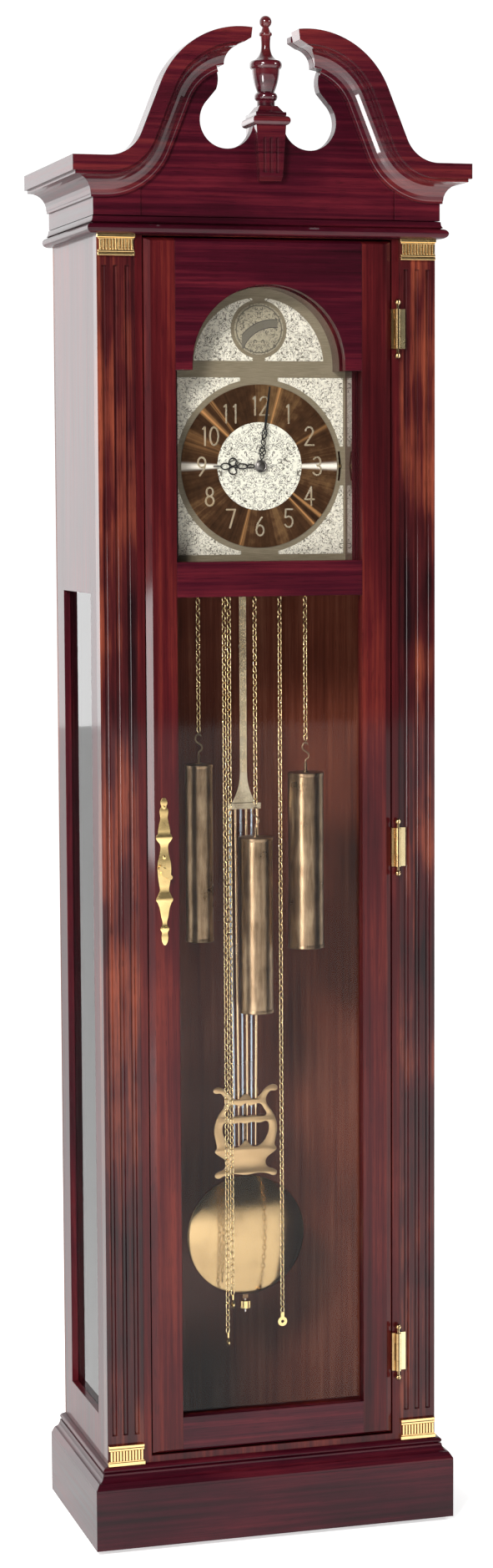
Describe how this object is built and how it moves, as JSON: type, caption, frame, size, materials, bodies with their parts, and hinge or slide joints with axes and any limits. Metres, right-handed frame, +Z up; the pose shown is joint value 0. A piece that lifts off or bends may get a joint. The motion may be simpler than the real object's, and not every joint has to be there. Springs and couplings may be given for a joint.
{
  "type": "grandfather clock",
  "caption": "Longcase clock in dark red wood with a broken-arch top, arched dial, glazed door, chain-driven brass weights and a lyre pendulum.",
  "frame": {"origin": "on the floor, at the centre of the overall width and depth", "axes": "+Z up, -Y out of the dial towards the viewer, +X to the viewer's right"},
  "size_m": [0.537, 0.2944, 2.0192],
  "materials": {
    "mahogany": "gloss varnish over straight-grained mahogany",
    "clear_glass": "clear float glass",
    "polished_brass": "polished and lacquered",
    "dial_silver": "champagne-silver brushed, etched panels",
    "bronze_ring": "dark bronze, spun",
    "black_steel": "black enamel",
    "steel": "bright drawn",
    "black_feet": "dark glide"
  },
  "bodies": {
    "case": {"plinth_frame": "mahogany", "levelling_feet": "black_feet", "case_boards": "mahogany", "base_moulding": "mahogany", "side_frame_left": "mahogany", "side_frame_right": "mahogany", "side_glass": "clear_glass", "back_panel": "mahogany", "pilasters": "mahogany", "brass_capitals": "polished_brass", "face_frame": "mahogany", "necking_moulding": "mahogany", "frieze_boards": "mahogany", "cornice_returns": "mahogany", "pediment_board": "mahogany", "swan_necks": "mahogany", "keystone": "mahogany", "finial_base": "mahogany", "finial": "mahogany", "dial_surround": "mahogany", "dial_plate": "dial_silver", "chapter_ring": "bronze_ring", "dial_discs": "dial_silver", "numerals": "polished_brass", "movement_frame": "polished_brass", "seat_board": "mahogany", "chime_rods": "steel", "hinge_case_leaves": "polished_brass", "chain_left": "polished_brass", "chain_centre": "polished_brass", "chain_right": "polished_brass"},
    "door": {"door_stiles": "mahogany", "door_rails": "mahogany", "door_glass_lower": "clear_glass", "door_glass_upper": "clear_glass", "door_glass_beads": "mahogany", "escutcheon": "polished_brass", "hinge_door_leaves": "polished_brass"},
    "latch": {"latch_lever": "polished_brass"},
    "minute_arbor": {"minute_hand": "black_steel", "centre_wheel": "polished_brass"},
    "hour_pipe": {"hour_hand": "black_steel"},
    "escape_arbor": {"escape_wheel": "polished_brass"},
    "anchor": {"anchor_crutch": "steel"},
    "silence": {"silence_lever": "black_steel"},
    "hammers": {"chime_hammers": "polished_brass"},
    "pendulum": {"pendulum_leader": "polished_brass", "pendulum_rods": "polished_brass", "lyre_plate": "polished_brass", "pendulum_bob": "polished_brass"},
    "rating_nut": {"rating_nut": "polished_brass"},
    "sprocket_left": {"sprocket_left": "polished_brass"},
    "weight_left": {"weight_left": "polished_brass"},
    "chain_tag_left": {"chain_tag_left": "polished_brass"},
    "sprocket_centre": {"sprocket_centre": "polished_brass"},
    "weight_centre": {"weight_centre": "polished_brass"},
    "chain_tag_centre": {"chain_tag_centre": "polished_brass"},
    "sprocket_right": {"sprocket_right": "polished_brass"},
    "weight_right": {"weight_right": "polished_brass"},
    "chain_tag_right": {"chain_tag_right": "polished_brass"}
  },
  "joints": [
    {"name": "door_swing", "type": "hinge", "parent": "case", "child": "door", "pos_m": [0.176, -0.11425, 0.9295], "axis": [0, 0, 1], "range_deg": [0, 110]},
    {"name": "latch_turn", "type": "hinge", "parent": "door", "child": "latch", "pos_m": [-0.1474, -0.10875, 0.908], "axis": [0, 1, 0], "range_deg": [-90, 0]},
    {"name": "minute_turn", "type": "hinge", "parent": "case", "child": "minute_arbor", "pos_m": [0, -0.06875, 1.4385], "axis": [0, 1, 0], "continuous": true},
    {"name": "hour_turn", "type": "hinge", "parent": "case", "child": "hour_pipe", "pos_m": [0, -0.06875, 1.4385], "axis": [0, 1, 0], "continuous": true},
    {"name": "escape_turn", "type": "hinge", "parent": "case", "child": "escape_arbor", "pos_m": [0, -0.01575, 1.463], "axis": [0, 1, 0], "continuous": true},
    {"name": "pendulum_swing", "type": "hinge", "parent": "case", "child": "pendulum", "pos_m": [0, 0.02325, 1.486], "axis": [0, 1, 0], "range_deg": [-3, 3]},
    {"name": "anchor_rock", "type": "hinge", "parent": "case", "child": "anchor", "pos_m": [0, 0.01525, 1.486], "axis": [0, 1, 0], "range_deg": [-4, 4]},
    {"name": "rating_nut_turn", "type": "hinge", "parent": "pendulum", "child": "rating_nut", "pos_m": [0, 0.02685, 0.283], "axis": [0, 0, 1], "continuous": true},
    {"name": "silence_shift", "type": "hinge", "parent": "case", "child": "silence", "pos_m": [0, -0.05875, 1.4385], "axis": [0, 1, 0], "range_deg": [-8, 8]},
    {"name": "hammer_lift", "type": "hinge", "parent": "case", "child": "hammers", "pos_m": [0, 0.02325, 1.538], "axis": [1, 0, 0], "range_deg": [0, 10]},
    {"name": "weight_left_travel", "type": "slide", "parent": "case", "child": "weight_left", "axis": [0, 0, 1], "range_m": [-0.6, 0.13], "deforming": ["chain_left"]},
    {"name": "chain_tag_left_travel", "type": "slide", "parent": "case", "child": "chain_tag_left", "axis": [0, 0, 1], "range_m": [-0.131, 0.601]},
    {"name": "sprocket_left_turn", "type": "hinge", "parent": "case", "child": "sprocket_left", "pos_m": [-0.057, -0.02275, 1.375], "axis": [0, 1, 0], "range_deg": [-1911.9, 415.8]},
    {"name": "weight_centre_travel", "type": "slide", "parent": "case", "child": "weight_centre", "axis": [0, 0, 1], "range_m": [-0.54, 0.13], "deforming": ["chain_centre"]},
    {"name": "chain_tag_centre_travel", "type": "slide", "parent": "case", "child": "chain_tag_centre", "axis": [0, 0, 1], "range_m": [-0.131, 0.541]},
    {"name": "sprocket_centre_turn", "type": "hinge", "parent": "case", "child": "sprocket_centre", "pos_m": [-0.014, -0.02275, 1.375], "axis": [0, 1, 0], "range_deg": [-415.8, 1720.9]},
    {"name": "weight_right_travel", "type": "slide", "parent": "case", "child": "weight_right", "axis": [0, 0, 1], "range_m": [-0.6, 0.13], "deforming": ["chain_right"]},
    {"name": "chain_tag_right_travel", "type": "slide", "parent": "case", "child": "chain_tag_right", "axis": [0, 0, 1], "range_m": [-0.131, 0.601]},
    {"name": "sprocket_right_turn", "type": "hinge", "parent": "case", "child": "sprocket_right", "pos_m": [0.057, -0.02275, 1.375], "axis": [0, 1, 0], "range_deg": [-415.8, 1911.9]}
  ],
  "couplings": [
    {"joint": "hour_turn", "follows": "minute_turn", "ratio": 0.083333},
    {"joint": "escape_turn", "follows": "minute_turn", "ratio": 60},
    {"joint": "anchor_rock", "follows": "pendulum_swing", "ratio": 1},
    {"joint": "chain_tag_left_travel", "follows": "weight_left_travel", "ratio": -1},
    {"joint": "sprocket_left_turn", "follows": "weight_left_travel", "rad_per_m": 55.556},
    {"joint": "chain_tag_centre_travel", "follows": "weight_centre_travel", "ratio": -1},
    {"joint": "sprocket_centre_turn", "follows": "weight_centre_travel", "rad_per_m": -55.556},
    {"joint": "chain_tag_right_travel", "follows": "weight_right_travel", "ratio": -1},
    {"joint": "sprocket_right_turn", "follows": "weight_right_travel", "rad_per_m": -55.556}
  ]
}
